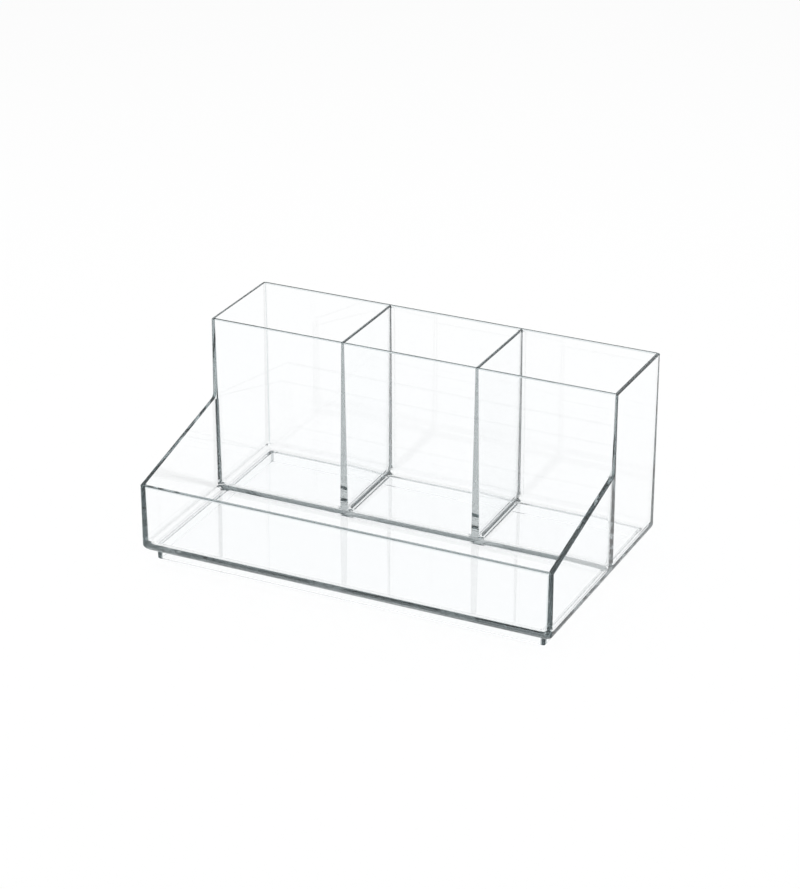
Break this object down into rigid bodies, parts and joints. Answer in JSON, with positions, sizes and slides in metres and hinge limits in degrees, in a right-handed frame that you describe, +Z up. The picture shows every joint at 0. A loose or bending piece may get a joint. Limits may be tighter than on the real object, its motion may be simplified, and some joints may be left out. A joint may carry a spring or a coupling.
{
  "type": "makeup organizer",
  "caption": "Clear countertop organizer: a low open tray in front of a row of tall open compartments, with sloping side panels, standing on a foot ring set in under the base.",
  "frame": {"origin": "on the surface the foot ring stands on, under the middle of the organizer", "axes": "+X to the right along the width, +Y to the back, so the tray faces -Y, +Z up"},
  "size_m": [0.21, 0.126, 0.0974],
  "materials": {
    "clear_sheet": "clear and polished, with a faint cool tint",
    "clear_cement": "clear and smooth, as the sheets"
  },
  "bodies": {
    "root": {"base_panel": "clear_sheet", "foot_ring": "clear_sheet", "left_side_panel": "clear_sheet", "right_side_panel": "clear_sheet", "front_panel": "clear_sheet", "back_panel": "clear_sheet", "partition_panel": "clear_sheet", "left_divider": "clear_sheet", "right_divider": "clear_sheet", "tray_cement_fillet": "clear_cement", "left_cement_fillet": "clear_cement", "middle_cement_fillet": "clear_cement", "right_cement_fillet": "clear_cement"}
  },
  "joints": []
}
